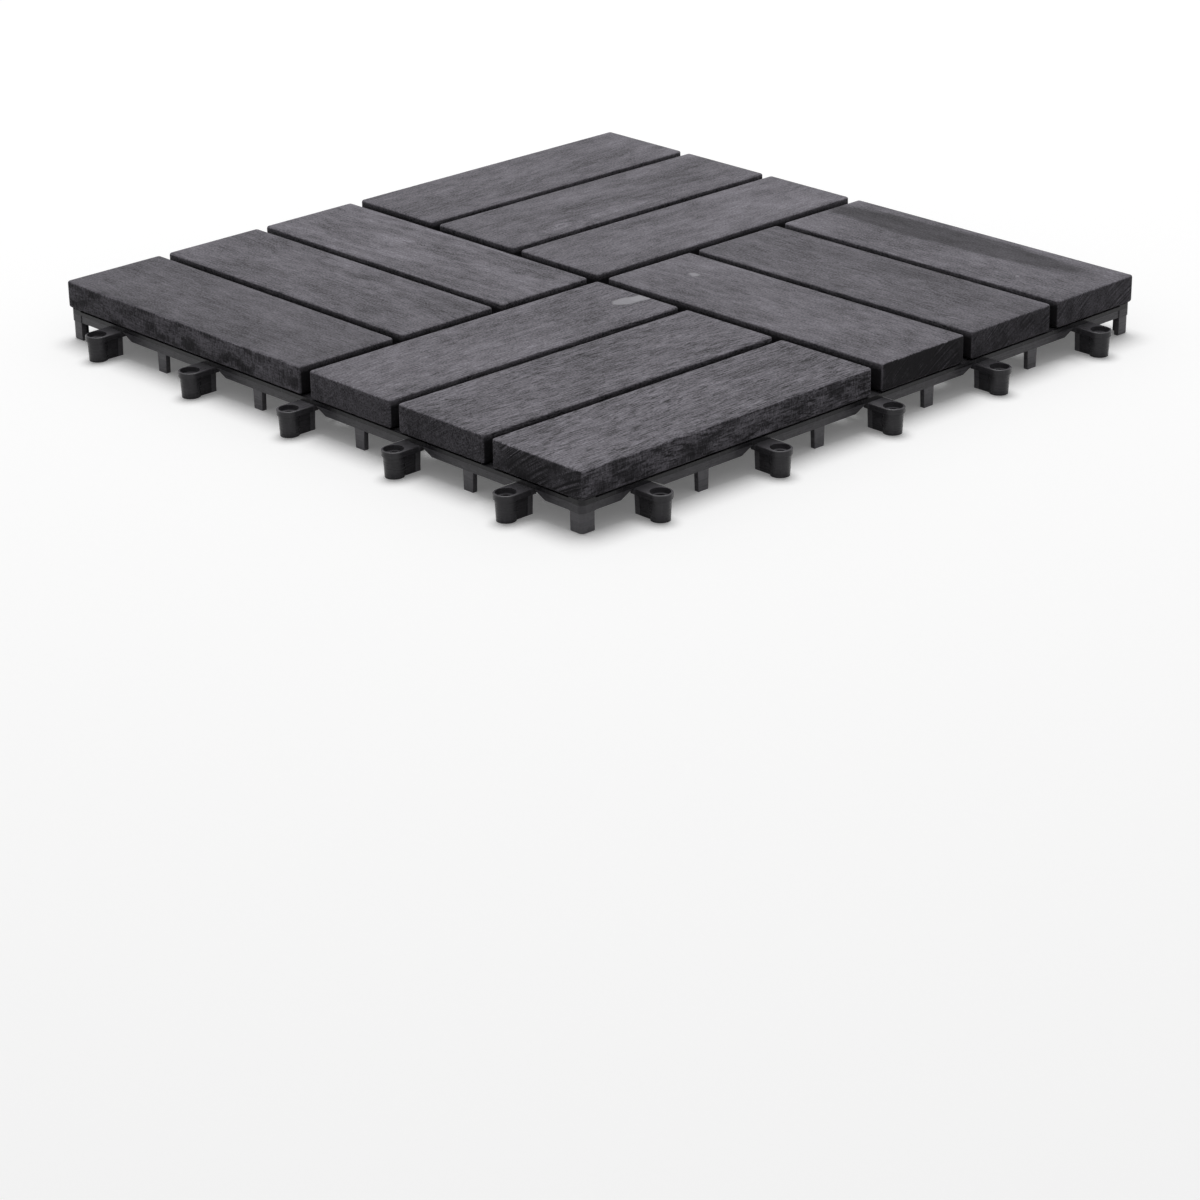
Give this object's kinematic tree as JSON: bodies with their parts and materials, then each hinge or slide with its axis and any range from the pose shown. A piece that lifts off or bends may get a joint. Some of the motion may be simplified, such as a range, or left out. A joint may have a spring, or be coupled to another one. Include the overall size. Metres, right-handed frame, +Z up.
{
  "type": "interlocking deck tile",
  "caption": "Square outdoor deck tile: dark hardwood slats in a basket weave on a black plastic grid that clips to the next tile by loops and pegs.",
  "frame": {"origin": "the middle of the square of slats, on the ground under the feet", "axes": "+Z up through the walking surface; the loops are on the -X and -Y sides and the pegs on the +X and +Y sides"},
  "size_m": [0.3126, 0.3126, 0.024],
  "materials": {
    "slat_wood": "charcoal grey stained hardwood, open grain, dry matt",
    "grid_plastic": "black moulded polypropylene, low sheen",
    "screw_steel": "zinc plated steel"
  },
  "bodies": {
    "root": {"base_grid": "grid_plastic", "slat_screws": "screw_steel", "front_slat_1": "slat_wood", "front_slat_2": "slat_wood", "front_slat_3": "slat_wood", "right_slat_1": "slat_wood", "right_slat_2": "slat_wood", "right_slat_3": "slat_wood", "back_slat_1": "slat_wood", "back_slat_2": "slat_wood", "back_slat_3": "slat_wood", "left_slat_1": "slat_wood", "left_slat_2": "slat_wood", "left_slat_3": "slat_wood"}
  },
  "joints": []
}
